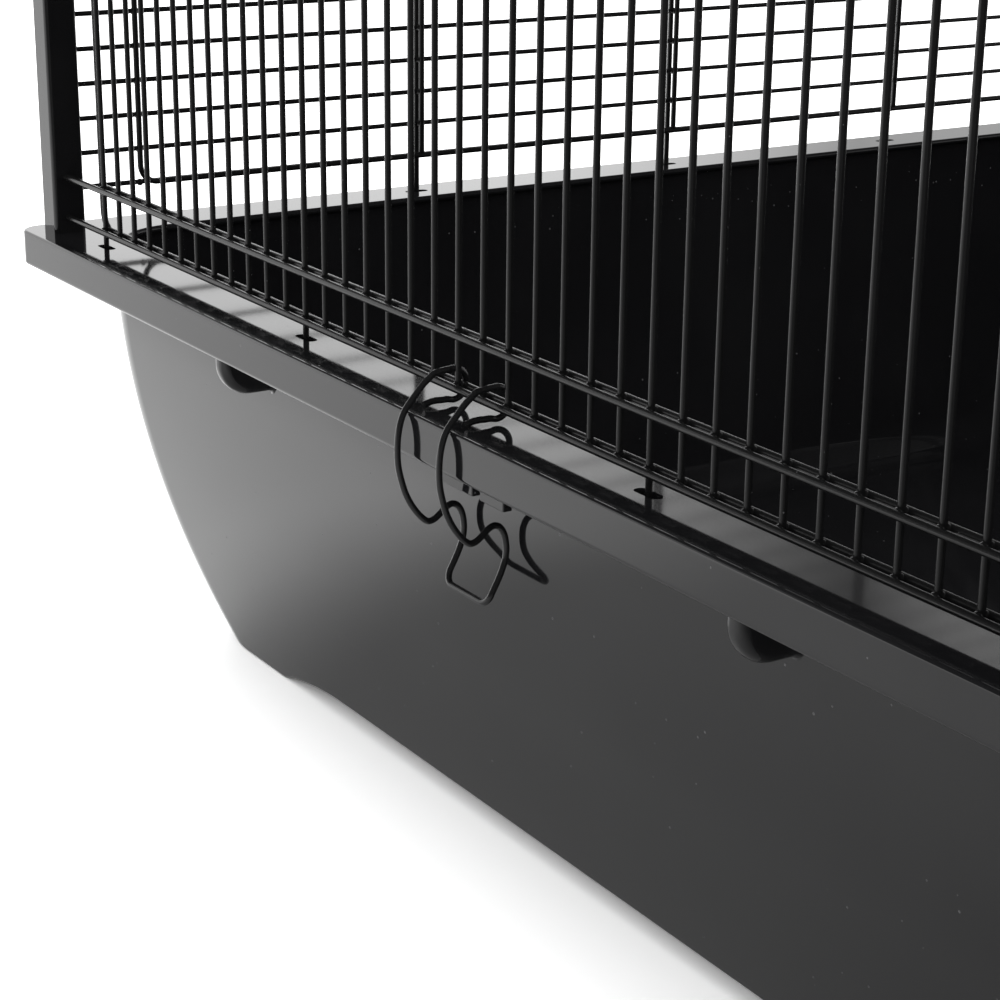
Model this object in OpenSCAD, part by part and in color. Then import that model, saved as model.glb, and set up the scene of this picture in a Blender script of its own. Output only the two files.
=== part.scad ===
/* [Wire] */
// Spacing of the grille wires, centre to centre
pitch = 11.5; // [10:0.5:13]
// Diameter of the grille wires
wire_d = 1.7; // [1.4:0.1:2]
// Diameter of the rails and of the frame loop of each panel
rail_d = 2; // [1.8:0.1:2.4]
// Spaces between the first and the last upright wire of a long side, an even number
front_gaps = 80; // [70:2:90]
// Last upright wire to the wire plane of the short side
side_margin = 32.2; // [31:0.5:36]
// Width between the wire planes of the two long sides
cage_wid = 506; // [460:2:560]
// Top rail above the tub's rim
wall_h = 451; // [420:1:500]
// Bottom rail above the tub's rim
rail_lift = 5.4; // [5.2:0.1:7]
// Second rail above the bottom rail
rail_step = 13.6; // [12:0.1:18]
// Lowest wire of a short side above the tub's rim
side_lift = 14; // [12:0.5:18]
// Wires from one locating pin to the next on a long side
pin_every = 14; // [12:1:16]
// Distance between the locating pins of a short side
side_pin_gap = 115; // [90:1:130]

/* [Tub] */
// Height of the tub, feet to rim
tub_h = 139; // [120:1:160]
// Wall, rim and floor of the moulding
tub_wall = 2.4; // [2:0.1:3]
// Rim's outer edge outside the wire planes
rim_out = 13.3; // [12.5:0.1:15]
// Rim's inner edge inside the wire planes
rim_in = 9; // [8:0.1:11]
// Depth of the skirt that hangs from the rim
skirt_h = 11.7; // [10:0.1:13]
// Outer corner radius of the rim
rim_r = 8; // [6:0.5:10]
// Radius of the edge between the flat rim and the skirt
rim_edge_r = 1; // [0.6:0.1:2]
// Corner radius of the tub's wall
tub_r = 29; // [24:1:36]
// Wall's outer face inside the wire planes, at the rim
wall_in = 4.4; // [4:0.1:5.5]
// How far the wall draws in from rim to floor
wall_draw = 28; // [20:1:34]
// Height of the corner feet
foot_h = 7; // [5:0.5:10]
// Length of a corner foot along each wall
foot_len = 85; // [60:1:110]
// Thickness of the gusset ribs under the rim
gusset_t = 2.8; // [2:0.1:4]
// Depth of the gusset ribs below the rim
gusset_h = 25.4; // [22:0.1:27]
// Gusset ribs to the middle of the long side, the inner pair and the outer pair
gusset_x = [115, 354];
// Depth of the catch tabs below the rim
catch_h = 14.3; // [13:0.1:18]

/* [Rim latches] */
// Rim latches to the middle of the long side
latch_x = 234; // [230:1:246]
// Spacing of a latch's two arms
latch_w = 20; // [18:0.1:21]
// Depth of the closed finger loop below the bottom rails
latch_reach = 52.5; // [50:0.5:58]

/* [Corner posts] */
// Side of the square tube
post_side = 11; // [9.5:0.5:12]
// Wall of the square tube
post_t = 1; // [0.8:0.1:1.5]
// Post's outer faces outside the wire planes
post_out = 6.3; // [5.5:0.1:7]
// Outer corner radius of the tube
post_r = 1.5; // [1:0.1:2.5]

/* [Doors] */
// Diameter of the door frames
door_d = 3; // [2.5:0.1:3.5]
// Upright wires that the front door's hole cuts on each side of the middle one
front_door_wires = 10; // [7:1:14]
// Lower edge of the front door's hole above the rim
front_door_low = 141; // [120:1:200]
// Upper edge of the front door's hole above the rim
front_door_high = 361; // [300:1:400]
// Roof wires that the roof door's hole cuts on each side of the middle one
roof_door_wires = 14; // [10:1:18]
// Roof door's hole, from front to rear
roof_door_len = 240; // [180:2:300]
// How far a door frame laps over the edge of its hole
door_lap = 4; // [3.5:0.1:5]
// Width of a hinge strap or door clip
strap_w = 8; // [6:0.1:9]

/* [Hidden] */

wire_black = "#1b1b1d";
plastic_black = "#111112";
post_black = "#202124";

weld = 0.03;       // what is left between two wires at a spot weld
run = 0.3;         // running clearance round moving wires
grip = 0.05;       // clearance of a strap on the wire that carries it
half_len = front_gaps * pitch / 2 + side_margin;
half_wid = cage_wid / 2;
half_n = front_gaps / 2;
layer = (wire_d + rail_d) / 2 + weld;      // rail centres from the plane of the wires
loop_in = side_margin - pitch / 2;         // frame loop to the corner, along its own panel
loop_r = 6;
rail_end = post_side - post_out + 0.2;     // rail ends at the post, from the other wire plane
z_rim = tub_h;
z_low = z_rim + rail_lift;
z_top = z_rim + wall_h;
upright_over = 0.5;                        // uprights stand this far past the end rails
z_upright = z_top + rail_d / 2 + upright_over;
z_roof_rail = z_upright + 0.1 + rail_d / 2;
z_roof_wire = z_roof_rail + layer;
door_gap = 0.8;
roof_door_z = z_roof_wire + (wire_d + door_d) / 2 + door_gap;
front_door_y = layer + (rail_d + door_d) / 2 + door_gap;  // outside the wire plane
side_rows = floor((wall_h - side_lift) / pitch + 0.001);
z_side_low = z_rim + side_lift;
z_side_top = z_side_low + side_rows * pitch;
pin_depth = 6;
slot_len = 9;
slot_w = 3.6;
$fn = 24;

// A straight wire along X, centred
module wire_x(len, d) { rotate([0, 90, 0]) cylinder(d = d, h = len, center = true); }

// An upright wire from z0 to z1
module wire_z(z0, z1, d) { translate([0, 0, z0]) cylinder(d = d, h = z1 - z0); }

// One bent wire round a w by h rectangle in the XY plane
module wire_loop(w, h, r, d) {
    for (s = [-1, 1]) {
        translate([0, s * h / 2, 0]) wire_x(w - 2 * r, d);
        translate([s * w / 2, 0, 0]) rotate([0, 0, 90]) wire_x(h - 2 * r, d);
    }
    for (q = [0 : 3]) {
        sx = (q == 0 || q == 3) ? 1 : -1;
        sy = q < 2 ? 1 : -1;
        translate([sx * (w / 2 - r), sy * (h / 2 - r), 0])
            rotate([0, 0, 90 * q]) rotate_extrude(angle = 90) translate([r, 0]) circle(d = d);
    }
}

// Turns what is drawn for the front so that it stands on another side
module on_front() { translate([0, -half_wid, 0]) children(); }
module on_rear() { rotate([0, 0, 180]) on_front() children(); }
module on_left() { rotate([0, 0, -90]) translate([0, -half_len, 0]) children(); }
module on_right() { rotate([0, 0, 90]) translate([0, -half_len, 0]) children(); }

// Tub

// How far the wall has drawn in at a depth below the rim
function draw_in(d) = wall_in + wall_draw * pow(d / tub_h, 2);

// A rounded rectangle of points at one height
function ring(hx, hy, r, z, n = 8) = [for (q = [0 : 3]) for (k = [0 : n])
    let (a = 90 * q + 90 * k / n, sx = (q == 0 || q == 3) ? 1 : -1, sy = q < 2 ? 1 : -1)
    [sx * (hx - r) + r * cos(a), sy * (hy - r) + r * sin(a), z]];

// A wall ring at a depth below the rim, drawn in a little more by inset
function wall_ring(d, inset) = ring(half_len - draw_in(d) - inset, half_wid - draw_in(d) - inset,
    tub_r - inset, z_rim - d);

// A solid through rings that go from top to bottom
module loft(rings) {
    n = len(rings[0]);
    m = len(rings);
    polyhedron([for (r = rings) each r], concat(
        [[for (i = [n - 1 : -1 : 0]) i]],
        [for (j = [0 : m - 2]) for (i = [0 : n - 1]) let (k = (i + 1) % n)
            each [[j * n + i, (j + 1) * n + k, (j + 1) * n + i], [j * n + i, j * n + k, (j + 1) * n + k]]],
        [[for (i = [0 : n - 1]) (m - 1) * n + i]]));
}

floor_d = tub_h - foot_h - tub_wall;   // top of the floor, below the rim
floor_r = 12;                          // inner fillet at the floor
wall_steps = 8;

module tub_shell() {
    difference() {
        loft([for (k = [0 : wall_steps]) wall_ring(tub_wall / 2 + (tub_h - tub_wall / 2) * k / wall_steps, 0)]);
        loft(concat(
            [wall_ring(0, tub_wall)],
            [for (k = [1 : wall_steps]) wall_ring((floor_d - floor_r) * k / wall_steps, tub_wall)],
            [for (a = [22.5 : 22.5 : 90]) let (d = floor_d - floor_r * (1 - sin(a)))
                wall_ring(d, tub_wall + floor_r * (1 - cos(a)))]));
        for (turn = [0, 1]) {
            across = turn ? half_wid : half_len;
            rotate([0, 0, 90 * turn]) translate([0, 0, foot_h / 2 - 1])
                cube([2 * (across - draw_in(tub_h) - foot_len), 3 * half_len, foot_h + 2], center = true);
        }
    }
}

// Section of the rim's edge: flange, small edge radius, skirt and round lip
module rim_section() {
    t = tub_wall;
    translate([0, -t]) square([rim_r - rim_edge_r, t]);
    intersection() {
        translate([rim_r - rim_edge_r, -rim_edge_r]) circle(rim_edge_r);
        translate([rim_r - rim_edge_r, -rim_edge_r]) square(rim_edge_r);
    }
    translate([rim_r - t, t / 2 - skirt_h]) square([t, skirt_h - t / 2 - rim_edge_r]);
    translate([rim_r - t / 2, t / 2 - skirt_h]) circle(t / 2);
}

module slot(along) {
    rotate([0, 0, along]) translate([0, 0, -2 * tub_wall]) linear_extrude(3 * tub_wall) {
        square([slot_len - slot_w, slot_w], center = true);
        for (s = [-1, 1]) translate([s * (slot_len - slot_w) / 2, 0]) circle(d = slot_w);
    }
}

function is_pin(i) = abs(i) % pin_every == 0 || abs(i) == half_n;

module tub_rim() {
    hx = half_len + rim_out - rim_r;
    hy = half_wid + rim_out - rim_r;
    hole_r = tub_r - (rim_in - wall_in);
    translate([0, 0, z_rim]) {
        difference() {
            translate([-hx, -hy, -tub_wall]) cube([2 * hx, 2 * hy, tub_wall]);
            translate([0, 0, -2 * tub_wall]) linear_extrude(3 * tub_wall) {
                square(2 * [half_len - rim_in - hole_r, half_wid - rim_in], center = true);
                square(2 * [half_len - rim_in, half_wid - rim_in - hole_r], center = true);
                for (sx = [-1, 1]) for (sy = [-1, 1])
                    translate([sx * (half_len - rim_in - hole_r), sy * (half_wid - rim_in - hole_r)])
                        circle(hole_r, $fn = 48);
            }
            for (i = [-half_n : half_n]) if (is_pin(i)) for (s = [-1, 1])
                translate([i * pitch, s * half_wid, 0]) slot(0);
            for (k = [-1 : 1]) for (s = [-1, 1])
                translate([s * (half_len + layer), k * side_pin_gap, 0]) slot(90);
        }
        for (s = [0, 1]) {
            rotate([0, 0, 180 * s]) translate([hx, hy, 0]) rotate([90, 0, 0])
                linear_extrude(2 * hy) rim_section();
            rotate([0, 0, 90 + 180 * s]) translate([hy, hx, 0]) rotate([90, 0, 0])
                linear_extrude(2 * hx) rim_section();
        }
        for (q = [0 : 3]) {
            sx = (q == 0 || q == 3) ? 1 : -1;
            sy = q < 2 ? 1 : -1;
            translate([sx * hx, sy * hy, 0]) rotate([0, 0, 90 * q])
                rotate_extrude(angle = 90) rim_section();
        }
    }
}

rib_root = wall_in + 1.6;              // ribs end inside the wall's thickness
rib_tip = rim_out - tub_wall / 2;      // and inside the skirt's thickness

// A gusset rib under the rim, drawn for the front
module gusset() {
    r = rib_root + rib_tip;
    translate([gusset_t / 2, 0, z_rim]) rotate([90, 0, -90]) linear_extrude(gusset_t) {
        translate([-rib_root, r - gusset_h]) square([r, gusset_h - r - tub_wall / 2]);
        intersection() {
            translate([-rib_root, r - gusset_h]) circle(r, $fn = 48);
            translate([-rib_root, -gusset_h]) square([r, r]);
        }
    }
}

// Tabs that hang out of the skirt beside a latch, from its middle towards the cage's middle
catch_tabs = [[1.4, 18.6], [21.8, 32.4]];

module latch_catch() {
    for (tab = catch_tabs) translate([tab[0], -rib_tip, z_rim - catch_h])
        cube([tab[1] - tab[0], tub_wall, catch_h - tub_wall / 2]);
}

module tub() {
    color(plastic_black) union() {
        tub_shell();
        tub_rim();
        for (side = [0, 1]) rotate([0, 0, 180 * side]) on_front() {
            for (x = gusset_x) for (s = [-1, 1]) translate([s * x, 0, 0]) gusset();
            for (s = [0, 1]) mirror([s, 0, 0]) translate([-latch_x, 0, 0]) latch_catch();
        }
    }
}

// Corner posts

module rounded_square(side, r) {
    square([side - 2 * r, side], center = true);
    square([side, side - 2 * r], center = true);
    for (sx = [-1, 1]) for (sy = [-1, 1])
        translate([sx * (side / 2 - r), sy * (side / 2 - r)]) circle(r);
}

// A square tube from the rim to the roof's loop, drawn for the front left corner
module post() {
    middle = post_side / 2 - post_out;
    translate([middle - half_len, middle - half_wid, z_rim]) linear_extrude(z_upright - z_rim)
        difference() {
            rounded_square(post_side, post_r);
            rounded_square(post_side - 2 * post_t, max(post_r - post_t, 0.3));
        }
}

module post_front_left() { color(post_black) post(); }
module post_front_right() { color(post_black) mirror([1, 0, 0]) post(); }
module post_rear_left() { color(post_black) mirror([0, 1, 0]) post(); }
module post_rear_right() { color(post_black) rotate([0, 0, 180]) post(); }

// Wall panels

long_loop_x = half_len - loop_in;
short_loop_x = half_wid - loop_in;

// A long side: upright wires and outer and inner rails, with pins below
module long_panel(has_door) {
    door_lo = z_rim + front_door_low;
    door_hi = z_rim + front_door_high;
    for (i = [-half_n : half_n]) translate([i * pitch, 0, 0]) {
        foot = is_pin(i) ? z_rim - pin_depth : z_low - rail_d / 2 - upright_over;
        if (has_door && abs(i) <= front_door_wires) {
            wire_z(foot, door_lo + rail_d / 2 + upright_over, wire_d);
            wire_z(door_hi - rail_d / 2 - upright_over, z_upright, wire_d);
        } else wire_z(foot, z_upright, wire_d);
    }
    mid_rails = [z_low + rail_step, door_lo, door_hi, z_top - rail_step];
    for (z = concat([z_low], mid_rails, [z_top]))
        translate([0, -layer, z]) wire_x(2 * (half_len - rail_end), rail_d);
    for (z = mid_rails) translate([0, layer, z]) wire_x(2 * long_loop_x - rail_d - 2 * weld, rail_d);
}

// A short side: level wires and outer and inner uprights, with pins below
module short_panel() {
    for (k = [0 : side_rows]) translate([0, 0, z_side_low + k * pitch])
        wire_x(2 * (half_wid - rail_end), wire_d);
    inner_lo = z_side_low + rail_d / 2 + weld;
    inner_hi = z_side_top - rail_d / 2 - weld;
    for (k = [-1 : 1]) translate([k * side_pin_gap, 0, 0]) {
        translate([0, -layer, 0]) wire_z(z_rim - pin_depth, z_upright, rail_d);
        translate([0, layer, 0]) wire_z(inner_lo, inner_hi, rail_d);
    }
}

// The bent loops that frame the sides, on the inside of their wires
module long_frame() {
    translate([0, layer, (z_low + z_top) / 2]) rotate([90, 0, 0])
        wire_loop(2 * long_loop_x, z_top - z_low, loop_r, rail_d);
}

module short_frame() {
    translate([0, layer, (z_side_low + z_side_top) / 2]) rotate([90, 0, 0])
        wire_loop(2 * short_loop_x, z_side_top - z_side_low, loop_r, rail_d);
}

module front_panel() { color(wire_black) on_front() long_panel(true); }
module rear_panel() { color(wire_black) on_rear() long_panel(false); }
module left_panel() { color(wire_black) on_left() short_panel(); }
module right_panel() { color(wire_black) on_right() short_panel(); }
module front_frame() { color(wire_black) on_front() long_frame(); }
module rear_frame() { color(wire_black) on_rear() long_frame(); }
module left_frame() { color(wire_black) on_left() short_frame(); }
module right_frame() { color(wire_black) on_right() short_frame(); }

// Roof

roof_n = floor((half_len - 2 * rail_d) / pitch);
roof_door_y = roof_door_len / 2;

// Wires from front to rear on a loop and on rails, with a hole for the roof door
module roof_panel() {
    color(wire_black) {
        translate([0, 0, z_roof_rail]) wire_loop(2 * half_len, 2 * half_wid, loop_r, rail_d);
        for (s = [-1, 1]) for (y = [roof_door_y, roof_door_y + rail_step])
            translate([0, s * y, z_roof_rail]) wire_x(2 * half_len - rail_d - 2 * weld, rail_d);
        reach = half_wid + rail_d / 2 + upright_over;
        for (i = [-roof_n : roof_n]) translate([i * pitch, 0, z_roof_wire]) rotate([-90, 0, 0])
            if (abs(i) <= roof_door_wires) {
                edge = roof_door_y - rail_d / 2 - upright_over;
                wire_z(edge, reach, wire_d);
                wire_z(-reach, -edge, wire_d);
            } else wire_z(-reach, reach, wire_d);
    }
}

clip_d = 1.6;
clip_r = 4.1;
clip_steps = [8.5, 22.5, 36.5];

// Open rings that tie the roof's loop to the top rails of the long sides
module roof_clips() {
    color(wire_black) for (side = [-1, 1]) for (s = [-1, 1]) for (step = clip_steps)
        translate([s * step * pitch, side * half_wid, (z_top + z_roof_rail) / 2 - 0.2])
            rotate([90, 0, 90]) rotate([0, 0, 110])
                rotate_extrude(angle = 320) translate([clip_r, 0]) circle(d = clip_d);
}

// Doors

// A wire door in the XY plane: frame loop, bars along Y on its outer face and a cross rail
module wire_door(w, h, bars) {
    wire_loop(w, h, loop_r, door_d);
    bar_z = (door_d + wire_d) / 2 + weld;
    for (i = [-bars : bars]) translate([i * pitch, 0, bar_z]) rotate([-90, 0, 0])
        wire_z(-h / 2, h / 2, wire_d);
    translate([0, 0, bar_z - layer]) wire_x(w - door_d - 2 * weld, rail_d);
}

// A strap round two parallel wires, one at the origin and one at a place
module strap_section(place, d0, gap0, d1, gap1) {
    wall = 1.2;
    span = norm(place);
    difference() {
        union() {
            circle(d0 / 2 + gap0 + wall);
            translate(place) circle(d1 / 2 + gap1 + wall);
            rotate([0, 0, atan2(place[1], place[0])]) translate([0, -wall / 2]) square([span, wall]);
        }
        circle(d0 / 2 + gap0);
        translate(place) circle(d1 / 2 + gap1);
    }
}

// The same strap with its first ring cut open on one side, as a spring clip
module clip_section(place, d0, gap0, d1, gap1, open_to) {
    difference() {
        strap_section(place, d0, gap0, d1, gap1);
        rotate([0, 0, open_to]) translate([0, -door_d]) square(2 * door_d);
    }
}

front_door_x = (front_door_wires + 1) * pitch + door_lap;
front_door_z = z_rim + (front_door_low + front_door_high) / 2;
front_door_h = front_door_high - front_door_low + 2 * door_lap;
strap_rise = 70;                       // straps above and below the middle of the door
carrier_x = (front_door_wires + 2) * pitch;
run_strap = 0.2;

module front_door() {
    color(wire_black) translate([0, -half_wid - front_door_y, front_door_z]) rotate([90, 0, 0])
        wire_door(2 * front_door_x, front_door_h, front_door_wires + 1);
}

module front_door_hinges() {
    color(wire_black) for (s = [-1, 1])
        translate([-front_door_x, -half_wid - front_door_y, front_door_z + s * strap_rise - strap_w / 2])
            linear_extrude(strap_w)
                strap_section([front_door_x - carrier_x, front_door_y], door_d, run_strap, wire_d, grip);
}

module front_door_clips() {
    color(wire_black) for (s = [-1, 1])
        translate([front_door_x, -half_wid - front_door_y, front_door_z + s * strap_rise - strap_w / 2])
            linear_extrude(strap_w)
                clip_section([carrier_x - front_door_x, front_door_y], door_d, run_strap, wire_d, grip, -90);
}

roof_door_x = (roof_door_wires + 1) * pitch + door_lap;
roof_door_half = roof_door_y + door_lap;
strap_step = 8.5;                      // straps stand between two roof wires
strap_drop = [roof_door_y + rail_step - roof_door_half, z_roof_rail - roof_door_z];

module roof_door() {
    color(wire_black) translate([0, 0, roof_door_z])
        wire_door(2 * roof_door_x, 2 * roof_door_half, roof_door_wires + 1);
}

module roof_door_hinges() {
    color(wire_black) for (s = [-1, 1])
        translate([s * strap_step * pitch - strap_w / 2, roof_door_half, roof_door_z])
            rotate([90, 0, 90]) linear_extrude(strap_w)
                strap_section(strap_drop, door_d, run_strap, rail_d, grip);
}

module roof_door_clips() {
    color(wire_black) for (s = [-1, 1])
        translate([s * strap_step * pitch - strap_w / 2, -roof_door_half, roof_door_z])
            rotate([90, 0, 90]) linear_extrude(strap_w)
                clip_section([-strap_drop[0], strap_drop[1]], door_d, run_strap, rail_d, grip, 90);
}

// Rim latches

ring_r = layer + (rail_d + wire_d) / 2 + run;    // eye of the latch round both bottom rails

// The arm in its own plane, outwards and upwards from the middle of the bottom rails
arm_points = [[5.2, 3.6], [6.9, 2.5], [8.6, 1.2], [10.1, -0.3], [11.5, -1.9], [12.85, -3.4], [14.05, -4.95],
    [15, -7], [15.7, -9.6], [16.1, -12.5], [16.2, -16], [15.9, -19.4], [15, -23.2], [13.9, -26.5],
    [12.2, -29.8], [10, -32.8], [8.1, -34.6], [6.9, -35.1], [5.4, -34.8], [3.6, -33.6], [1.9, -32.2],
    [0.1, -31.6], [-1.6, -32.4], [-2.8, -34.4], [-3.4, -37.2], [-3.4, -39.8], [-2.9, -42], [-1.8, -44.8],
    [-0.4, -47.5], [0.7, 3 - latch_reach]];

// The free end below the rails, over the rim
tail_points = [[8.6, -4.2], [6.8, -3.75], [5, -3.6], [3.3, -3.7]];

// The eye: from the free end under the rails, round behind and over to the arm
eye_tangent = acos(ring_r / norm(arm_points[0]));
eye_to = atan2(arm_points[0][1], arm_points[0][0]) + eye_tangent;
eye_from = 292;                        // where the free end's side of the eye begins
eye_turn = eye_from - eye_to;
eye_steps = 14;
eye = [for (k = [0 : eye_steps]) let (a = eye_to + eye_turn * (1 - k / eye_steps))
    ring_r * [cos(a), sin(a)]];

corner_r = 3;
function latch_half() = let (end = arm_points[len(arm_points) - 1])
    concat([for (q = concat(tail_points, eye, arm_points)) [latch_w / 2, -q[0], q[1]]],
        [for (a = [22.5 : 22.5 : 90]) [latch_w / 2 - corner_r * (1 - cos(a)), -end[0] - 1.2 * sin(a),
            end[1] - corner_r * sin(a)]]);

function flip(path) = [for (i = [len(path) - 1 : -1 : 0]) [-path[i][0], path[i][1], path[i][2]]];
function unit(v) = v / norm(v);

// A round wire swept along a path as one closed solid
module swept_wire(path, d, sides = 8) {
    n = len(path);
    dir = [for (i = [0 : n - 1]) unit(path[min(i + 1, n - 1)] - path[max(i - 1, 0)])];
    axes = carry(dir);
    points = [for (i = [0 : n - 1]) let (u = axes[i], v = cross(dir[i], u))
        for (k = [0 : sides - 1]) path[i] + d / 2 * (u * cos(360 * k / sides) + v * sin(360 * k / sides))];
    polyhedron(points, concat([[for (k = [0 : sides - 1]) k]],
        [for (i = [0 : n - 2]) for (k = [0 : sides - 1]) let (l = (k + 1) % sides)
            each [[i * sides + k, (i + 1) * sides + k, (i + 1) * sides + l],
                [i * sides + k, (i + 1) * sides + l, i * sides + l]]],
        [[for (k = [sides - 1 : -1 : 0]) (n - 1) * sides + k]]));
}

// One axis for each ring, carried along from the last one, so that the wire never twists
function carry(dir) = let (first = unit(cross(dir[0], [0.3, 0.2, 1])))
    [for (i = 0, u = first; i < len(dir); i = i + 1,
        u = i < len(dir) ? unit(u - (u * dir[i]) * dir[i]) : u) u];

module rim_latch() {
    half = latch_half();
    translate([0, 0, z_low]) swept_wire(concat(half, flip(half)), wire_d);
}

module latch_front_left() { color(wire_black) on_front() translate([-latch_x, 0, 0]) rim_latch(); }
module latch_front_right() { color(wire_black) on_front() translate([latch_x, 0, 0]) rim_latch(); }
module latch_rear_left() { color(wire_black) on_rear() translate([latch_x, 0, 0]) rim_latch(); }
module latch_rear_right() { color(wire_black) on_rear() translate([-latch_x, 0, 0]) rim_latch(); }

tub();
post_front_left();
post_front_right();
post_rear_left();
post_rear_right();
front_panel();
rear_panel();
left_panel();
right_panel();
front_frame();
rear_frame();
left_frame();
right_frame();
roof_panel();
roof_clips();
front_door();
front_door_hinges();
front_door_clips();
roof_door();
roof_door_hinges();
roof_door_clips();
latch_front_left();
latch_front_right();
latch_rear_left();
latch_rear_right();
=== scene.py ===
from math import acos, atan2, copysign, cos, pi, radians, sin

import bmesh
import bpy
from mathutils import Matrix, Vector


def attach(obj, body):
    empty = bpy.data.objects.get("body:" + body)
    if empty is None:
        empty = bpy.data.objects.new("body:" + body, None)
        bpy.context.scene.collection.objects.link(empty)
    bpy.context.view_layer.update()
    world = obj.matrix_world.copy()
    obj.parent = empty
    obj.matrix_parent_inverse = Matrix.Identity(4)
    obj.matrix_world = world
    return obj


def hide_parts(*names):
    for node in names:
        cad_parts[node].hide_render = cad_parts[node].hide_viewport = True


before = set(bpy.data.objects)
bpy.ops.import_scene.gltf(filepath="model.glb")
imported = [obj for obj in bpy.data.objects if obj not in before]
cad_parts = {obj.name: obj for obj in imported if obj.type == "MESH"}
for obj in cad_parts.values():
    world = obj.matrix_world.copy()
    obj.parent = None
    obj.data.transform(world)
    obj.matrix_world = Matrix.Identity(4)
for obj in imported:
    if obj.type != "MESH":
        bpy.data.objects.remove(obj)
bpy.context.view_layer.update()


# Camera
# It stands before the right half of the front and looks along the cage at its left end.
# Its place and angles come from a fit to the wires in the photograph.

camera_place = Vector((0.2231, -0.5410, 0.2970))
yaw, tilt, roll = radians(-57.08), radians(18.46), radians(-0.62)
ahead = Vector((sin(yaw) * cos(tilt), cos(yaw) * cos(tilt), -sin(tilt)))
right = Vector((cos(yaw), -sin(yaw), 0))
down = ahead.cross(right)
right, down = cos(roll) * right + sin(roll) * down, cos(roll) * down - sin(roll) * right
camera = bpy.data.objects.new("camera", bpy.data.cameras.new("camera"))
camera.data.sensor_width = 36
camera.data.lens = 81.73
camera.data.clip_start = 0.01
camera.matrix_world = Matrix.Translation(camera_place) @ Matrix((right, -down, -ahead)).transposed().to_4x4()
bpy.context.scene.collection.objects.link(camera)
bpy.context.scene.camera = camera


# Tub
# One injection moulding in high-gloss black plastic, about 2.4 mm thick. Its walls draw in towards
# the floor in a soft curve, and a flat rim with a short skirt runs round the top.

wire_len, wire_wid = 0.4922, 0.253              # from the middle to the planes of the wire walls
rim_z, tub_wall, tub_r = 0.139, 0.0024, 0.029
rim_out, rim_in, rim_r = 0.0133, 0.009, 0.008   # the flange, from the wire planes, and its outer corners
skirt_h, foot_h = 0.0117, 0.0077
wall_in, wall_lean = 0.0044, 0.028              # how far the wall stands in at its top, and then draws in
floor_fillet, foot_edge = 0.012, 0.0022
rim_edge, rim_nose, skirt_lip = 0.0008, 0.0012, 0.0011
root_chamfer = 0.0009                           # where the wall and the skirt meet the flange
hold, near_hold, fine_hold = 0.0006, 0.0004, 0.0003     # outlines beside an edge, to keep its faces flat


def fill(tree, node, inputs):
    """Gives some inputs of a node a plain value or a link."""
    for name, value in inputs.items():
        if isinstance(value, bpy.types.NodeSocket):
            tree.links.new(value, node.inputs[name])
        else:
            node.inputs[name].default_value = value
    return node


def new_node(tree, kind, inputs, **settings):
    """A shader node with its settings and inputs."""
    made = tree.nodes.new(kind)
    for name, value in settings.items():
        setattr(made, name, value)
    return fill(tree, made, inputs)


def ramp(tree, source, low, high, at_low, at_high, kind="SMOOTHSTEP"):
    """A value that goes from one level to another as its source crosses a range."""
    return new_node(tree, "ShaderNodeMapRange", {
        "Value": source, "From Min": low, "From Max": high, "To Min": at_low, "To Max": at_high,
    }, interpolation_type=kind).outputs["Result"]


def combine(tree, operation, a, b):
    """The result of a sum or a comparison of two values."""
    return new_node(tree, "ShaderNodeMath", {0: a, 1: b}, operation=operation).outputs[0]


def blend(tree, share, a, b):
    """A value between two others."""
    return new_node(tree, "ShaderNodeMix", {"Factor": share, 2: a, 3: b}, data_type="FLOAT").outputs[0]


def fine_dust():
    """Specks and a thin film of dust, as a colour, a roughness and a height that vary over the surface."""
    speck_from, speck_radius, speck_cover = 0.86, 0.13, 0.6
    cloud_scale, film_from, film_to = 17, 0.42, 0.72
    tree = bpy.data.node_groups.new("fine_dust", "ShaderNodeTree")
    for name, kind in (("Colour", "Color"), ("Dust Colour", "Color"), ("Roughness", "Float"),
                       ("Dust Roughness", "Float"), ("Film", "Float"), ("Specks per Metre", "Float")):
        tree.interface.new_socket(name, in_out="INPUT", socket_type="NodeSocket" + kind)
    for name, kind in (("Colour", "Color"), ("Roughness", "Float"), ("Height", "Float")):
        tree.interface.new_socket(name, in_out="OUTPUT", socket_type="NodeSocket" + kind)
    given = tree.nodes.new("NodeGroupInput").outputs
    place = tree.nodes.new("ShaderNodeTexCoord").outputs["Object"]

    cells = new_node(tree, "ShaderNodeTexVoronoi", {"Vector": place, "Scale": given["Specks per Metre"]},
                     feature="F1").outputs
    chance = new_node(tree, "ShaderNodeSeparateColor", {"Color": cells["Color"]}).outputs[0]
    radius = ramp(tree, chance, speck_from, 1, 0, speck_radius, "LINEAR")
    specks = combine(tree, "MULTIPLY", combine(tree, "LESS_THAN", cells["Distance"], radius), speck_cover)

    cloud = new_node(tree, "ShaderNodeTexNoise", {"Vector": place, "Scale": cloud_scale, "Detail": 5})
    film = ramp(tree, cloud.outputs["Fac"], film_from, film_to, 0, 1, "LINEAR")
    cover = combine(tree, "MAXIMUM", combine(tree, "MULTIPLY", film, given["Film"]), specks)

    colour = new_node(tree, "ShaderNodeMix", {"Factor": cover, 6: given["Colour"], 7: given["Dust Colour"]},
                      data_type="RGBA").outputs[2]
    roughness = blend(tree, cover, given["Roughness"], given["Dust Roughness"])
    new_node(tree, "NodeGroupOutput", {"Colour": colour, "Roughness": roughness, "Height": specks})
    return tree


dust = fine_dust()
dust_colour, dust_roughness = (0.16, 0.16, 0.165), 0.55


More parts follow.
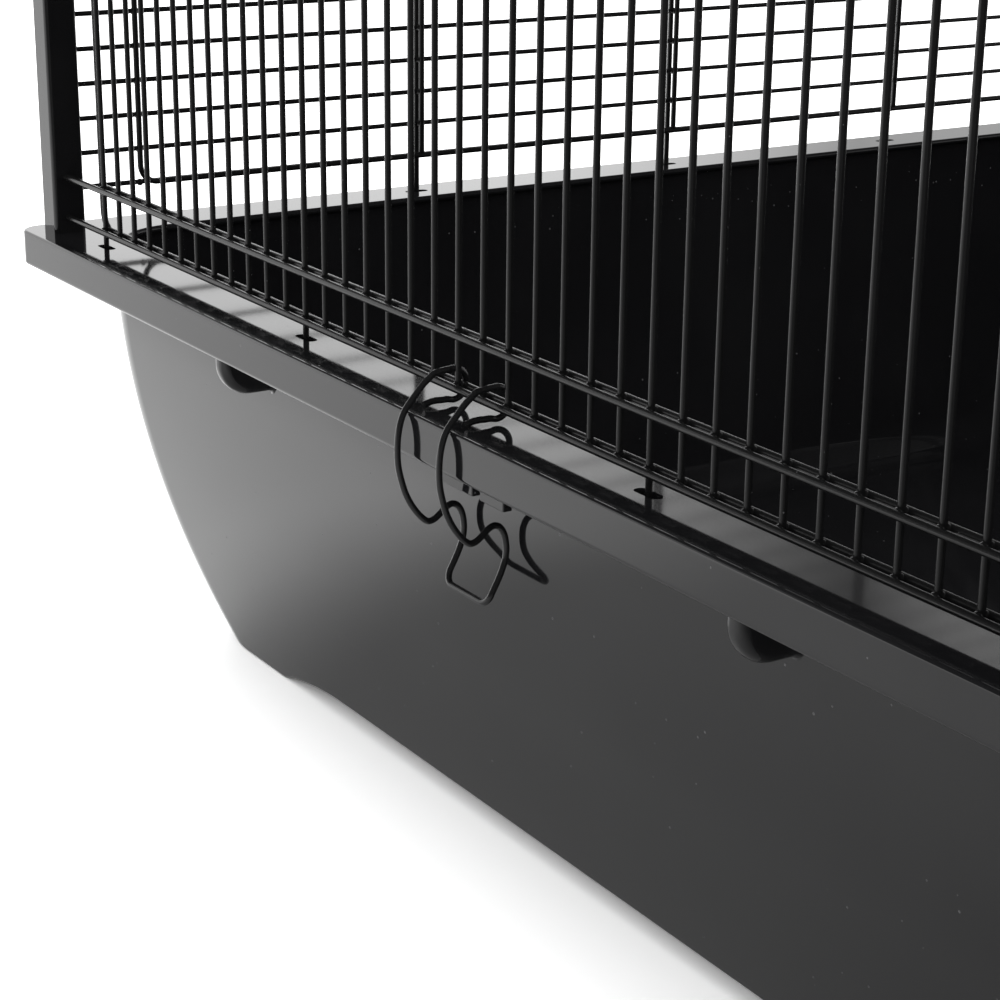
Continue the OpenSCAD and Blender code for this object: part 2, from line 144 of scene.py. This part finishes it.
def coated(name, colour, roughness, specks, bumps, film=0.02):
    """A black finish under a little dust; bumps is a list of (scale per metre, height in metres)."""
    made = bpy.data.materials.new(name)
    made.use_nodes = True
    tree = made.node_tree
    dusted = new_node(tree, "ShaderNodeGroup", {
        "Colour": (*colour, 1), "Dust Colour": (*dust_colour, 1), "Roughness": roughness,
        "Dust Roughness": dust_roughness, "Film": film, "Specks per Metre": specks,
    }, node_tree=dust).outputs
    place = tree.nodes.new("ShaderNodeTexCoord").outputs["Object"]
    normal = {}
    for scale, height in bumps:
        grain = new_node(tree, "ShaderNodeTexNoise", {"Vector": place, "Scale": scale, "Detail": 2})
        bump = new_node(tree, "ShaderNodeBump", {
            "Distance": height, "Height": grain.outputs["Fac"], **normal,
        })
        normal = {"Normal": bump.outputs["Normal"]}
    fill(tree, tree.nodes["Principled BSDF"], {
        "IOR": 1.5, "Base Color": dusted["Colour"], "Roughness": dusted["Roughness"], **normal,
    })
    return made


gloss_plastic = coated("tub_gloss_plastic", (0.009, 0.009, 0.0098), roughness=0.06, specks=330,
                       bumps=[(9, 0.00008), (2600, 0.0000003)])


def evenly(start, end, steps):
    """Even steps from start to end."""
    return [start + (end - start) * k / steps for k in range(steps + 1)]


def arc(steps):
    """Sine and cosine of even steps round a quarter turn, its start left out."""
    return [(sin(a), cos(a)) for a in evenly(0, pi / 2, steps)[1:]]


def draw_in(depth):
    """How far the wall has drawn in at a depth below the rim."""
    return wall_in + wall_lean * (depth / rim_z) ** 2


def outline(out, r, depth):
    """A level outline with rounded corners: half length, half width, corner radius and height."""
    return wire_len + out, wire_wid + out, r, rim_z - depth


def flange_inside(back, depth):
    """An outline a little back from the flange's inner edge."""
    return outline(back - rim_in, tub_r - rim_in + wall_in + back, depth)


def flange_outside(back, depth):
    """An outline a little back from the skirt's outer face."""
    return outline(rim_out - back, rim_r - back, depth)


def lower_edge(r):
    """The arc from the underside to the sloping wall, as (outwards from the wall's foot, up)."""
    wall_turn, arc_back = radians(68), 0.677    # from level to the wall's slope, and a share of the radius
    return [(r * (sin(a) - arc_back), r * (1 - cos(a))) for a in evenly(0, wall_turn, 6)]


def settle(verts, old, new):
    """Moves the points of one level outline onto the next."""
    for v in verts:
        side = [copysign(1, v.co[k]) for k in (0, 1)]
        turn = [(v.co[k] - side[k] * (old[k] - old[2])) / old[2] for k in (0, 1)]
        v.co = [side[k] * (new[k] - new[2]) + new[2] * turn[k] for k in (0, 1)] + [new[3]]


def shell(outlines, corner_steps):
    """A closed skin through level outlines, capped at both ends."""
    made = bmesh.new()
    first = outlines[0]
    bmesh.ops.create_grid(made, x_segments=1, y_segments=1, size=1)
    bmesh.ops.scale(made, vec=(first[0], first[1], 1), verts=made.verts)
    bmesh.ops.bevel(made, geom=made.verts[:], offset=first[2], segments=corner_steps, profile=0.5,
                    affect="VERTICES", material=-1)
    settle(made.verts, first, first)
    border, last = made.edges[:], first
    for step in outlines[1:]:
        grown = bmesh.ops.extrude_edge_only(made, edges=border)["geom"]
        points = {g for g in grown if isinstance(g, bmesh.types.BMVert)}
        border = [g for g in grown if isinstance(g, bmesh.types.BMEdge) and set(g.verts) <= points]
        settle(points, last, step)
        last = step
    bmesh.ops.edgeloop_fill(made, edges=border)
    bmesh.ops.recalc_face_normals(made, faces=made.faces)
    return made


def as_object(made, name, sharp=32):
    """Turns a bmesh into an object at the origin, smooth but for its sharp edges."""
    mesh = bpy.data.meshes.new(name)
    made.to_mesh(mesh)
    made.free()
    mesh.shade_smooth()
    mesh.set_sharp_from_angle(angle=radians(sharp))
    piece = bpy.data.objects.new(name, mesh)
    bpy.context.scene.collection.objects.link(piece)
    return piece


def mount(piece, body, slot, material, *stands_for):
    """Gives a piece its material and the body that it rides on; the slot argument is not used."""
    piece.data.materials.clear()
    piece.data.materials.append(material)
    if stands_for:
        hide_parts(*stands_for)
    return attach(piece, body)


# The tub's skin runs from the middle of its floor up the inside, over the flange and down the outside.
floor_depth = rim_z - foot_h - tub_wall
fillet_r = tub_r - tub_wall
skin = [outline(-draw_in(floor_depth) - tub_wall - floor_fillet - extra,
                fillet_r - floor_fillet, floor_depth) for extra in (hold, 0)]
for s, c in arc(8):
    depth = floor_depth - floor_fillet * (1 - c)
    skin.append(outline(-draw_in(depth) - tub_wall - floor_fillet * (1 - s),
                        fillet_r - floor_fillet * (1 - s), depth))
skin += [outline(-draw_in(d) - tub_wall, fillet_r, d)
         for d in evenly(floor_depth - floor_fillet, tub_wall + hold, 18)[1:]]
skin += [flange_inside(rim_nose, tub_wall)]
skin += [flange_inside(rim_nose * (1 - s), tub_wall - rim_nose * (1 - c)) for s, c in arc(4)]
skin += [flange_inside(rim_nose * (1 - c), rim_nose * (1 - s)) for s, c in arc(4)]
skin += [flange_inside(rim_nose + near_hold, 0), flange_outside(rim_edge + near_hold, 0)]
skin += [flange_outside(rim_edge, 0)]
skin += [flange_outside(rim_edge * (1 - s), rim_edge * (1 - c)) for s, c in arc(6)]
skin += [flange_outside(0, rim_edge + fine_hold)]
skin += [flange_outside(0, skirt_h - skirt_lip - extra) for extra in (fine_hold, 0)]
skin += [flange_outside(skirt_lip * (1 - c), skirt_h - skirt_lip * (1 - s)) for s, c in arc(4)]
skin += [flange_outside(tub_wall - skirt_lip * (1 - s), skirt_h - skirt_lip * (1 - c)) for s, c in arc(4)]
skin += [flange_outside(tub_wall, tub_wall + root_chamfer),
         outline(rim_out - tub_wall - root_chamfer, rim_r - tub_wall, tub_wall),
         outline(-draw_in(tub_wall) + root_chamfer, tub_r, tub_wall)]
wall_stop = rim_z - 0.7 * foot_edge             # just above the rounded lower edge
skin += [outline(-draw_in(d), tub_r, d) for d in evenly(tub_wall + root_chamfer, wall_stop, 28)]
skin += [outline(-draw_in(rim_z) + back, tub_r + min(back, 0), rim_z - z)
         for back, z in reversed(lower_edge(foot_edge))]
tub = as_object(shell(skin, 16), "tub_moulding")

pitch = 0.0115                                  # of the wires
slot_long, slot_wide, slot_cut = 0.009, 0.0036, 0.0074
pin_wires = (0, 14, 28, 40)                     # wires of a long wall, from the middle, that end in a pin
end_pins, end_pin_off = (-0.115, 0, 0.115), 0.00188


def slot_cutter(made, long, wide, x, y):
    """Adds a block with rounded upright edges, for one slot in the flange."""
    new = bmesh.ops.create_cube(made, size=1)["verts"]
    bmesh.ops.scale(made, vec=(long, wide, slot_cut), verts=new)
    upright = {e for v in new for e in v.link_edges if e.verts[0].co.z * e.verts[1].co.z < 0}
    bmesh.ops.translate(made, vec=(x, y, rim_z), verts=new)
    bmesh.ops.bevel(made, geom=list(upright), offset=slot_wide / 2 - 0.00002, segments=6, profile=0.5,
                    affect="EDGES", material=-1)


holes = bmesh.new()
for wire in pin_wires:
    for sx in ((1, -1) if wire else (1,)):
        for sy in (1, -1):
            slot_cutter(holes, slot_long, slot_wide, sx * wire * pitch, sy * wire_wid)
for y in end_pins:
    for sx in (1, -1):
        slot_cutter(holes, slot_wide, slot_long, sx * (wire_len + end_pin_off), y)

# Between its corner feet the underside rises in a long ramp at each end. Each cutter is a trough
# under the tub, and its edges turn up into the wall with the same rounding as the feet.
ramp_from, ramp_long, ramp_power, soft_start, raised_edge = 0.055, 0.045, 1.7, 4, 0.0034
far_out, far_down, under_floor = 1.5, -0.01, -0.0005
for turned, half_len, half_wid in ((False, wire_len, wire_wid), (True, wire_wid, wire_len)):
    low = half_len - draw_in(rim_z) - ramp_from
    side_view = [(ramp_long * t - low,
                  foot_h * (1 - (1 - t) ** ramp_power) * (1 - (1 - min(1, soft_start * t)) ** 2))
                 for t in evenly(0, 1, 16)]
    side_view[0] = (-low, under_floor)
    rows = []
    for x, h in side_view + [(-x, h) for x, h in reversed(side_view)]:
        wall = half_wid - draw_in(rim_z - h)
        edge_r = foot_edge + (raised_edge - foot_edge) * h / foot_h
        half_row = [(wall + back, h + z) for back, z in lower_edge(edge_r)]
        half_row.append((far_out, half_row[-1][1]))
        row = [(-y, z) for y, z in reversed(half_row)] + half_row
        rows.append([holes.verts.new((y, x, z) if turned else (x, y, z)) for y, z in row])
    top = [holes.faces.new((a[j], a[j + 1], b[j + 1], b[j]))
           for a, b in zip(rows, rows[1:]) for j in range(len(a) - 1)]
    for g in bmesh.ops.extrude_face_region(holes, geom=top)["geom"]:
        if isinstance(g, bmesh.types.BMVert):
            g.co.z = far_down
bmesh.ops.recalc_face_normals(holes, faces=holes.faces)
cutter = as_object(holes, "cutter")
cut = tub.modifiers.new("slots and feet", "BOOLEAN")
cut.object, cut.solver, cut.use_self = cutter, "EXACT", True
finished = bpy.data.meshes.new_from_object(tub.evaluated_get(bpy.context.evaluated_depsgraph_get()))
tub.modifiers.clear()
tub.data = finished
bpy.data.objects.remove(cutter)
tub.data.shade_smooth()
tub.data.set_sharp_from_angle(angle=radians(32))
tub.modifiers.new("flat faces stay flat", "WEIGHTED_NORMAL").keep_sharp = True
mount(tub, "root", "tub_plastic", gloss_plastic, "tub")


# Ribs under the rim
# Rounded gussets, and the short tabs that hang out of the skirt beside each latch. They are
# part of the moulding, so they run into its wall, its flange and its skirt.

rib_root, rib_tip, rib_thick, rib_depth = 0.006, 0.0121, 0.0069, 0.0232
rib_corner, rib_fillet, rib_foot = 0.0095, 0.0022, 0.0054
rib_places, rib_soft = (0.115, 0.354), 0.0029
latch_x, latch_w = 0.234, 0.020
tabs = ((0.0014, 0.0186), (0.0218, 0.0324))     # from the latch's middle towards the cage's middle
tab_depth, tab_soft = 0.0143, 0.0004


def side_turn(rear):
    """Turns what is made for the front round to the rear."""
    return Matrix.Rotation(pi if rear else 0, 4, "Z")


def extruded(side_view, thick, middle_x, soft):
    """A plate with a given side view, (outwards, down) from the rim's height at the wire plane."""
    made = bmesh.new()
    points = [made.verts.new((middle_x - thick / 2, -wire_wid - o, rim_z - d)) for o, d in side_view]
    face = made.faces.new(points)
    grown = bmesh.ops.extrude_face_region(made, geom=[face])["geom"]
    bmesh.ops.translate(made, vec=(thick, 0, 0),
                        verts=[g for g in grown if isinstance(g, bmesh.types.BMVert)])
    bmesh.ops.recalc_face_normals(made, faces=made.faces)
    root = max(v.co.y for v in made.verts) - 0.00001
    in_view = [e for e in made.edges if e.calc_face_angle(0) > radians(28)
               and min(v.co.y for v in e.verts) < root and min(v.co.z for v in e.verts) < rim_z - tub_wall]
    bmesh.ops.bevel(made, geom=in_view, offset=soft, segments=6, profile=0.5, affect="EDGES", material=-1)
    return made


def under_rim(made, name, rear):
    """Puts a plate under the front or the rear rim."""
    bmesh.ops.transform(made, matrix=side_turn(rear), verts=made.verts)
    piece = as_object(made, name)
    piece.modifiers.new("flat faces stay flat", "WEIGHTED_NORMAL").keep_sharp = True
    mount(piece, "root", "tub_plastic", gloss_plastic)


gusset_side = [(-rib_root, tub_wall / 2), (rib_tip, tub_wall / 2), (rib_tip, rib_depth - rib_corner)]
gusset_side += [(rib_tip - rib_corner * (1 - c), rib_depth - rib_corner * (1 - s)) for s, c in arc(10)]
gusset_side += [(rib_fillet * (1 - s) - rib_foot, rib_depth + rib_fillet * (1 - c))
                for s, c in [(0, 1)] + arc(6)]
gusset_side += [(-rib_root, rib_depth + rib_fillet)]
tab_side = [(rib_tip - tub_wall, tub_wall / 2), (rib_tip, tub_wall / 2), (rib_tip, tab_depth),
            (rib_tip - tub_wall, tab_depth)]
for rear in (False, True):
    where = "rear" if rear else "front"
    for x in rib_places:
        for side, sx in (("left", -1), ("right", 1)):
            under_rim(extruded(gusset_side, rib_thick, sx * x, rib_soft),
                      f"gusset_{where}_{side}_{round(x * 1000)}", rear)
    for side, sx in (("left", -1), ("right", 1)):
        for k, (near, far) in enumerate(tabs):
            under_rim(extruded(tab_side, far - near, sx * (latch_x - (near + far) / 2), tab_soft),
                      f"tab_{where}_{side}_{k}", rear)


# Corner posts, wire walls, roof and doors
# Square steel tubes carry welded walls of round wire. Everything is powder-coated black: the posts
# smooth and glossy, the wires satin. Their shapes are right in the frame and only get their finish.

finishes = {
    "post_coating": coated("post_smooth_coating", (0.006, 0.006, 0.0065), roughness=0.07, specks=420,
                           bumps=[(160, 0.00002)]),
    "wire_coating": coated("wire_powder_coating", (0.006, 0.006, 0.0062), roughness=0.22, specks=700,
                           bumps=[(1500, 0.00002), (5200, 0.000006)]),
    "latch_wire": coated("latch_gloss_coating", (0.008, 0.008, 0.0085), roughness=0.2, specks=700,
                         bumps=[(700, 0.00001), (4200, 0.000003)]),
    "tub_plastic": gloss_plastic,
}
satin = finishes["wire_coating"].node_tree
fill(satin, satin.nodes["Principled BSDF"], {"Specular IOR Level": 0.32})
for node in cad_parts.values():
    for holder in node.material_slots:
        holder.material = finishes[holder.material.name.split(".")[0]]


# Welds
# The wires are resistance-welded where they cross. Each weld is a small flattened bead that the
# powder coating has filled and rounded.

bead_wide, bead_flat = 0.00125, 0.0009
weld_off, door_weld_off = 0.00086, 0.0015       # from a bar's middle to the middle of its welds
low_rail, top_rail = 0.1444, 0.590
rails = (low_rail, 0.158, 0.280, 0.500, 0.5764, top_rail)
first_level, levels, frame_y = 0.153, 39, 0.22655
roof_z, roof_bars = 0.59448, (0.120, 0.1336, 0.253)
front_door_y, front_door_bars = -0.25818, (0.276, 0.390, 0.504)
roof_door_z, roof_door_bars = 0.59763, (-0.124, 0, 0.124)
wall_wires, roof_wires, front_door_wires, roof_door_wires = 40, 42, 11, 15      # each side of the middle one


def beads(name, body, places, flat_axis, along, count):
    """One bead at each place, flattened along one axis, and the whole row repeated along another."""
    made = bmesh.new()
    size = [bead_flat if k == flat_axis else bead_wide for k in range(3)]
    for place in places:
        bmesh.ops.create_uvsphere(made, u_segments=8, v_segments=5, radius=1,
                                  matrix=Matrix.Translation(place) @ Matrix.Diagonal((*size, 1)))
    piece = as_object(made, name, sharp=180)
    row = piece.modifiers.new("one for each wire", "ARRAY")
    row.use_relative_offset, row.use_constant_offset = False, True
    row.constant_offset_displace = [pitch if k == along else 0 for k in range(3)]
    row.count = count
    mount(piece, body, "wire_coating", finishes["wire_coating"])


def across(name, body, wires, y_and_z, flat_axis):
    """Rows of beads along the cage, with as many to the left of the middle wire as to its right."""
    beads(name, body, [(-wires * pitch, y, z) for y, z in y_and_z], flat_axis, 0, 2 * wires + 1)


for where, sy in (("front", -1), ("rear", 1)):
    for side, off in (("outer", weld_off), ("inner", -weld_off)):
        across(f"{where}_welds_{side}", "root", wall_wires, [(sy * (wire_wid + off), z) for z in rails], 1)
for where, sx in (("left", -1), ("right", 1)):
    row = [(sx * (wire_len + weld_off), y, first_level) for y in end_pins]
    row += [(sx * (wire_len - weld_off), y, first_level) for y in (-frame_y, *end_pins, frame_y)]
    beads(f"{where}_welds", "root", row, 0, 2, levels)
across("roof_welds", "root", roof_wires,
       [(sy * y, roof_z - weld_off) for sy in (-1, 1) for y in roof_bars], 2)
across("front_door_welds", "front_door", front_door_wires,
       [(front_door_y - door_weld_off, z) for z in front_door_bars], 1)
across("roof_door_welds", "roof_door", roof_door_wires,
       [(y, roof_door_z + door_weld_off) for y in roof_door_bars], 2)


# Rim latches
# One piece of spring wire each, bent into two eyes round the bottom rails, two arms that bow out over
# the rim, a hump behind each arm and a square finger loop.

latch_d, eye_r, loop_r, loop_out = 0.0017, 0.00403, 0.003, 0.0012
eye_start = radians(292)

# The bends of an arm and of its tail on the flange, in mm outwards and up from the lowest rail.
arm = [(5.2, 3.6), (6.9, 2.5), (8.6, 1.2), (10.1, -0.3), (11.5, -1.9), (12.85, -3.4), (14.05, -4.95),
       (15, -7), (15.7, -9.6), (16.1, -12.5), (16.18, -16), (15.9, -19.4), (15, -23.2), (13.9, -26.5),
       (12.2, -29.8), (10, -32.8), (8.1, -34.6), (6.9, -35.1), (5.4, -34.8), (3.6, -33.6), (1.9, -32.2),
       (0.1, -31.6), (-1.6, -32.4), (-2.8, -34.4), (-3.4, -37.2), (-3.4, -39.8), (-2.9, -42), (-1.8, -44.8),
       (-0.4, -47.5), (0.7, -49.5)]
tail = [(8.6, -4.2), (6.8, -3.75), (5, -3.6), (3.3, -3.7)]
arm, tail = ([Vector((o / 1000, u / 1000)) for o, u in way] for way in (arm, tail))


def smooth_through(points, steps):
    """Points on a smooth curve through the given ones."""
    made = []
    for i in range(len(points) - 1):
        a, b, c, e = (points[min(max(i + k, 0), len(points) - 1)] for k in (-1, 0, 1, 2))
        for k in range(steps):
            t = k / steps
            made.append(0.5 * (2 * b + (c - a) * t + (2 * a - 5 * b + 4 * c - e) * t * t
                               + (3 * b - a - 3 * c + e) * t ** 3))
    return made + [points[-1]]


eye_end = atan2(arm[0].y, arm[0].x) + acos(eye_r / arm[0].length)
eye = [eye_r * Vector((cos(a), sin(a))) for a in evenly(eye_start, eye_end, 10)]
half_path = [(latch_w / 2, *p) for p in smooth_through(tail + eye + arm, 5)]
half_path += [(latch_w / 2 - loop_r * (1 - c), arm[-1].x + loop_out * s, arm[-1].y - loop_r * s)
              for s, c in arc(8)]
whole_path = half_path + [(-x, o, u) for x, o, u in reversed(half_path)]
for rear in (False, True):
    for side, sx in (("left", -1), ("right", 1)):
        name = f"latch_{'rear' if rear else 'front'}_{side}"
        toward = 1 if rear else -1
        curve = bpy.data.curves.new(name + "_wire", "CURVE")
        curve.dimensions, curve.bevel_depth, curve.bevel_resolution = "3D", latch_d / 2, 6
        curve.use_fill_caps = True
        line = curve.splines.new("POLY")
        line.points.add(len(whole_path) - 1)
        for point, (x, o, u) in zip(line.points, whole_path):
            point.co = (sx * latch_x - toward * x, toward * (wire_wid + o), low_rail + u, 1)
        bent = bpy.data.objects.new(name + "_bent", curve)
        bpy.context.scene.collection.objects.link(bent)
        mesh = bpy.data.meshes.new_from_object(bent.evaluated_get(bpy.context.evaluated_depsgraph_get()))
        bpy.data.objects.remove(bent)
        made = bmesh.new()
        made.from_mesh(mesh)
        bmesh.ops.remove_doubles(made, verts=made.verts, dist=0.000001)
        bmesh.ops.recalc_face_normals(made, faces=made.faces)
        mount(as_object(made, name + "_wire", sharp=50), name, "latch_wire", finishes["latch_wire"], name)


# Floor and light
# A white floor that runs out of view, under an even white sky. Glossy surfaces see both
# bright on the left and dark towards the camera, as in a room with one long window.
# In reflections the floor shows painted light and shade: brighter past the cage's left end,
# painted shade close to the tub's front wall, and darker towards the right.

floor_seen, floor_plain, room_dark = 2.3, 0.8, 0.05


def is_ray(tree, kind):
    """Whether a ray is of one kind."""
    return new_node(tree, "ShaderNodeLightPath", {}).outputs[kind]


def place_of(tree, coordinates):
    """The three coordinates of a place or of a direction."""
    place = new_node(tree, "ShaderNodeTexCoord", {}).outputs[coordinates]
    return new_node(tree, "ShaderNodeSeparateXYZ", {0: place}).outputs


paper = bpy.data.materials.new("white_paper")
paper.use_nodes = True
tree = paper.node_tree
tree.nodes.clear()
place = place_of(tree, "Object")
# The floor's colour for glossy rays is painted light and shade: a painted bright pool beyond the left end,
# painted shade near the front wall and towards the right.
left_end_painted_light_share = ramp(tree, place["X"], -0.37, -0.50, 0, 1)
painted_reflected_tone = blend(tree, left_end_painted_light_share, ramp(tree, place["Y"], -0.23, -0.49, 0.74, 1, "LINEAR"),
                 ramp(tree, place["Y"], -0.35, -0.46, 1.95, 1.55))
painted_reflected_tone = combine(tree, "MULTIPLY", painted_reflected_tone, ramp(tree, place["X"], -0.22, 0.25, 1, 0.2))
tone = blend(tree, is_ray(tree, "Is Glossy Ray"), floor_plain, painted_reflected_tone)
tone = blend(tree, is_ray(tree, "Is Camera Ray"), tone, floor_seen)
matt = new_node(tree, "ShaderNodeBsdfDiffuse", {"Color": tone})
new_node(tree, "ShaderNodeOutputMaterial", {"Surface": matt.outputs[0]})
made = bmesh.new()
bmesh.ops.create_grid(made, x_segments=1, y_segments=1, size=15)
floor = as_object(made, "floor")
floor.data.materials.append(paper)

world = bpy.data.worlds.new("studio")
bpy.context.scene.world = world
world.use_nodes = True
tree = world.node_tree
way = place_of(tree, "Generated")
window = combine(tree, "MULTIPLY", ramp(tree, way["X"], -0.84, -0.66, 1.75, 0.1),
                 ramp(tree, way["Z"], 0.36, 0.52, 1, 0.05))
behind = combine(tree, "MULTIPLY", ramp(tree, way["Y"], 0.61, 0.67, 0, 0.8),
                 ramp(tree, way["Z"], 0.36, 0.60, 1, 0.1))
room = combine(tree, "MAXIMUM", combine(tree, "MAXIMUM", window, behind), room_dark)
fill(tree, tree.nodes["Background"], {
    "Color": (1, 1, 1, 1), "Strength": blend(tree, is_ray(tree, "Is Glossy Ray"), 1, room),
})

bpy.context.scene.view_settings.view_transform = "Standard"
